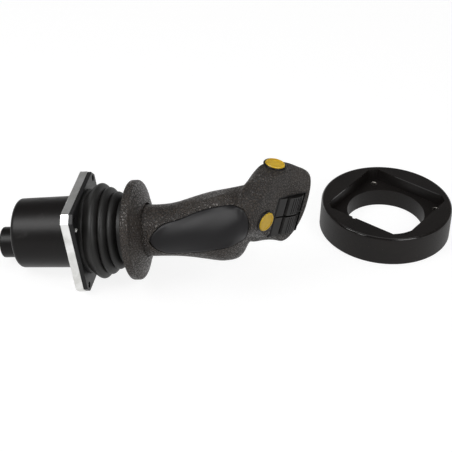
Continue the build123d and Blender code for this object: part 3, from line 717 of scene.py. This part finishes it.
COILS = (("spring_lower", 0.0, 0.5, "base", "gimbal"), ("spring_upper", 0.5, 1.0, "gimbal", "lever"))
for name, low, high, first_body, last_body in COILS:
    coil = coil_part(name, low, high)
    start, end = on_axis(COIL_LOW + COIL_RISE * low), on_axis(COIL_LOW + COIL_RISE * high)
    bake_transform(coil)
    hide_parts("centring_spring")

# ================================================================ palm inlay
# outline across the grip and along the lever, in millimetres; the three small sizes are in metres
PAD_TURN = math.radians(27.0)
PAD_SIDE = np.array([-math.sin(PAD_TURN), -math.cos(PAD_TURN), 0.0])
PAD_ACROSS = np.array([-PAD_SIDE[1], PAD_SIDE[0], 0.0])
PAD_MIDDLE = np.array([-1.0, 104.0])
PAD_THICK = 0.0011
PAD_PROUD = 0.00022
PAD_ROLL = 0.0007
CLEAR_OF_GRIP = 70.0  # millimetres out from the lever axis, where the drop starts
PAD_OUTLINE = np.array([
    (6.0, 61.6), (0.0, 65.6), (-5.6, 72.5), (-9.2, 85.0), (-14.6, 100.0), (-18.3, 116.0),
    (-19.0, 128.5), (-16.0, 137.6), (-8.0, 141.0), (0.5, 139.8), (7.0, 135.2), (11.8, 127.6),
    (14.6, 113.1), (16.6, 99.0), (17.4, 86.0), (16.6, 71.0), (12.2, 64.0)])


def closed_curve(corners, count):
    """A smooth closed curve through the corners.

    Each stretch is the cubic that has the corners' places and slopes at its ends; the slopes are differences
    between neighbouring corners, and the parameter is the chord length.
    """
    gaps = np.linalg.norm(np.roll(corners, -1, axis=0) - corners, axis=1)
    at = np.concatenate([[0.0], np.cumsum(gaps)]) / gaps.sum()
    t = np.arange(count) / count
    wrapped_at = np.concatenate([at[:-1] - 1.0, at[:-1], at[:-1] + 1.0])
    wrapped = np.concatenate([corners, corners, corners])
    span = np.searchsorted(wrapped_at, t, side="right") - 1
    h = (wrapped_at[span + 1] - wrapped_at[span])[:, None]
    u = (t[:, None] - wrapped_at[span][:, None]) / h
    slope = np.gradient(wrapped, wrapped_at, axis=0)
    p0, p1, m0, m1 = wrapped[span], wrapped[span + 1], slope[span] * h, slope[span + 1] * h
    return ((2 * u**3 - 3 * u**2 + 1) * p0 + (u**3 - 2 * u**2 + u) * m0
            + (3 * u**2 - 2 * u**3) * p1 + (u**3 - u**2) * m1)


def palm_inlay():
    """The inlay's outline shrunk towards its middle gives rings; each ring point drops on the plain pad.

    A point that misses it takes the depth of the last ring that met it. The depths are evened to their best
    fifth-degree polynomial of the two outline directions, except near the rim. The outer face stands
    slightly proud in the middle and rolls down at the rim as a quarter ellipse; the same rings, one pad
    thickness deeper, make the under face.
    """
    rim = closed_curve(PAD_OUTLINE, 168)
    share = np.sin(np.linspace(0.0, math.pi / 2, 40))
    grown = 0.003 + 0.984 * share
    rings = PAD_MIDDLE + (rim - PAD_MIDDLE)[:, None, :] * grown[None, :, None]
    starts = (np.multiply.outer(rings[..., 0], PAD_ACROSS) + rings[..., 1:] * np.array([0.0, 0.0, 1.0])
              + CLEAR_OF_GRIP * PAD_SIDE)
    flat = starts.reshape(-1, 3)
    world = lever_point(flat[:, 0], flat[:, 1], flat[:, 2])
    inward = -(PAD_SIDE[0] * SIDE + PAD_SIDE[1] * AWAY)
    depth = reach(world, inward, triangles("palm_pad")).reshape(starts.shape[:2])
    usual = np.broadcast_to(np.nanmedian(depth, axis=1)[:, None], depth.shape)
    ring = np.broadcast_to(np.arange(depth.shape[1]), depth.shape)
    last_met = np.where(np.isnan(depth), -1, ring).max(axis=1)[:, None]
    held = np.take_along_axis(depth, np.minimum(ring, last_met), axis=1)
    depth = np.where(np.isnan(held), usual, held)
    across = rings[..., 0].ravel() / 20.0
    along = (rings[..., 1].ravel() - 101.0) / 40.0
    terms = np.stack([across**i * along**j for i in range(6) for j in range(6 - i)], axis=1)
    shares, *_ = np.linalg.lstsq(terms, depth.ravel(), rcond=None)
    even = (terms @ shares).reshape(depth.shape)
    at_rim = eased(share, 0.80, 1.0)[None, :]
    depth = even * (1.0 - at_rim) + depth * at_rim
    world = world.reshape(*starts.shape)
    edge = np.clip((share - 0.93) / 0.07, 0.0, 1.0)[None, :]
    lift = PAD_PROUD * (1.0 - share[None, :] ** 3) - PAD_ROLL * (1.0 - np.sqrt(1.0 - edge**2))
    top = world + inward * (depth - lift)[..., None]
    under = world + inward * (depth + PAD_THICK)[..., None]
    points = np.concatenate([top, under[:, ::-1]], axis=1)
    points[:, 0] = points[:, 0].mean(axis=0)
    points[:, -1] = points[:, -1].mean(axis=0)
    return surface("palm_inlay", points, "lever", INLAY, ("palm_pad",), 50.0)


palm_inlay()

# ================================================================ floor, light, camera
FLOOR_HALF = 6.0
FLOOR_DROP = 0.0002


def white_floor():
    """A pale sheet that takes shadows; seen directly or in a reflection it also glows, so it looks white."""
    low = FLOOR - FLOOR_DROP
    corners = [(-FLOOR_HALF, -FLOOR_HALF, low), (FLOOR_HALF, -FLOOR_HALF, low),
               (FLOOR_HALF, FLOOR_HALF, low), (-FLOOR_HALF, FLOOR_HALF, low)]
    mesh = bpy.data.meshes.new("floor")
    mesh.from_pydata(corners, [], [(0, 1, 2, 3)])
    floor = bpy.data.objects.new("floor", mesh)
    bpy.context.scene.collection.objects.link(floor)
    paper = Finish("floor_paper", Specular_IOR_Level=0.0)
    paper.done((0.26, 0.26, 0.26), 0.9)
    rays = paper.node("ShaderNodeLightPath")
    watched = Val(paper, rays.outputs["Is Camera Ray"]).highest(Val(paper, rays.outputs["Is Glossy Ray"]))
    watched = watched.highest(Val(paper, rays.outputs["Is Transmission Ray"]))
    plain = paper.shader.outputs[0]
    glow = paper.node("ShaderNodeEmission", None, {"Color": (1.0, 1.0, 1.0), "Strength": 0.86})
    both = paper.node("ShaderNodeAddShader", None, {0: plain, 1: glow.outputs[0]})
    chosen = paper.node("ShaderNodeMixShader", None, {0: watched, 1: plain, 2: both.outputs[0]})
    paper.tree.links.new(chosen.outputs[0], paper.out.inputs[0])
    mesh.materials.append(paper.material)


def studio_room():
    """Pale to the camera; to every other ray a room that darkens from the floor up."""
    world = bpy.data.worlds.new("studio")
    bpy.context.scene.world = world
    world.use_nodes = True
    tree = world.node_tree
    tree.nodes.clear()
    place = add_node(tree, "ShaderNodeTexCoord")
    height = add_node(tree, "ShaderNodeSeparateXYZ", None, {0: place.outputs["Generated"]})
    grade = add_node(tree, "ShaderNodeMapRange", {"interpolation_type": "SMOOTHSTEP"},
                     {"Value": height.outputs["Z"], "From Min": 0.05, "From Max": 0.42,
                      "To Min": 0.85, "To Max": 0.17})
    room = add_node(tree, "ShaderNodeBackground", None, {"Strength": grade.outputs[0]})
    pale = add_node(tree, "ShaderNodeBackground", None, {"Strength": 1.0})
    rays = add_node(tree, "ShaderNodeLightPath")
    mix = add_node(tree, "ShaderNodeMixShader", None,
                   {0: rays.outputs["Is Camera Ray"], 1: room.outputs[0], 2: pale.outputs[0]})
    add_node(tree, "ShaderNodeOutputWorld", None, {0: mix.outputs[0]})


AIM = Vector((0.13, 0.05, 0.0))
LEFT, RIGHT, ABOVE = (-0.55, -0.45, 0.70), (0.60, -0.45, 0.66), (0.0, 0.25, 0.97)


def softbox(name, direction, distance, width, height, power):
    """An area lamp at a distance along a direction from the aim point, facing it."""
    data = bpy.data.lights.new(name, "AREA")
    data.shape = "RECTANGLE"
    data.size = width
    data.size_y = height
    data.energy = power
    lamp = bpy.data.objects.new(name, data)
    bpy.context.scene.collection.objects.link(lamp)
    direction = Vector(direction).normalized()
    lamp.location = AIM + direction * distance
    lamp.rotation_euler = direction.to_track_quat("Z", "Y").to_euler()
    return lamp


def place_camera():
    """A long lens turned by an azimuth, an elevation and a roll, from a place in frame metres."""
    data = bpy.data.cameras.new("camera")
    data.sensor_fit = "HORIZONTAL"
    data.sensor_width = 36.0
    data.lens = 127.46
    data.clip_start = 0.05
    data.clip_end = 50.0
    camera = bpy.data.objects.new("camera", data)
    bpy.context.scene.collection.objects.link(camera)
    azimuth, elevation, roll = [math.radians(angle) for angle in (8.0, 35.04, 2.98)]
    turn = Matrix.Rotation(azimuth, 4, "Z") @ Matrix.Rotation(math.pi / 2 - elevation, 4, "X")
    turn = turn @ Matrix.Rotation(roll, 4, "Z")
    camera.matrix_world = Matrix.Translation((0.255488, -0.994827, 0.728137)) @ turn
    bpy.context.scene.camera = camera


white_floor()
studio_room()
softbox("top_softbox", ABOVE, 1.5, 1.4, 0.8, 3.0)
softbox("left_softbox", LEFT, 1.2, 0.60, 0.60, 4.6)
softbox("right_softbox", RIGHT, 1.2, 0.55, 0.55, 3.8)
for name, direction, power in (("left_glint", LEFT, 8.5), ("right_glint", RIGHT, 6.5)):
    softbox(name, direction, 1.2, 0.24, 0.44, power).visible_diffuse = False
place_camera()
bpy.context.scene.view_settings.view_transform = "Standard"
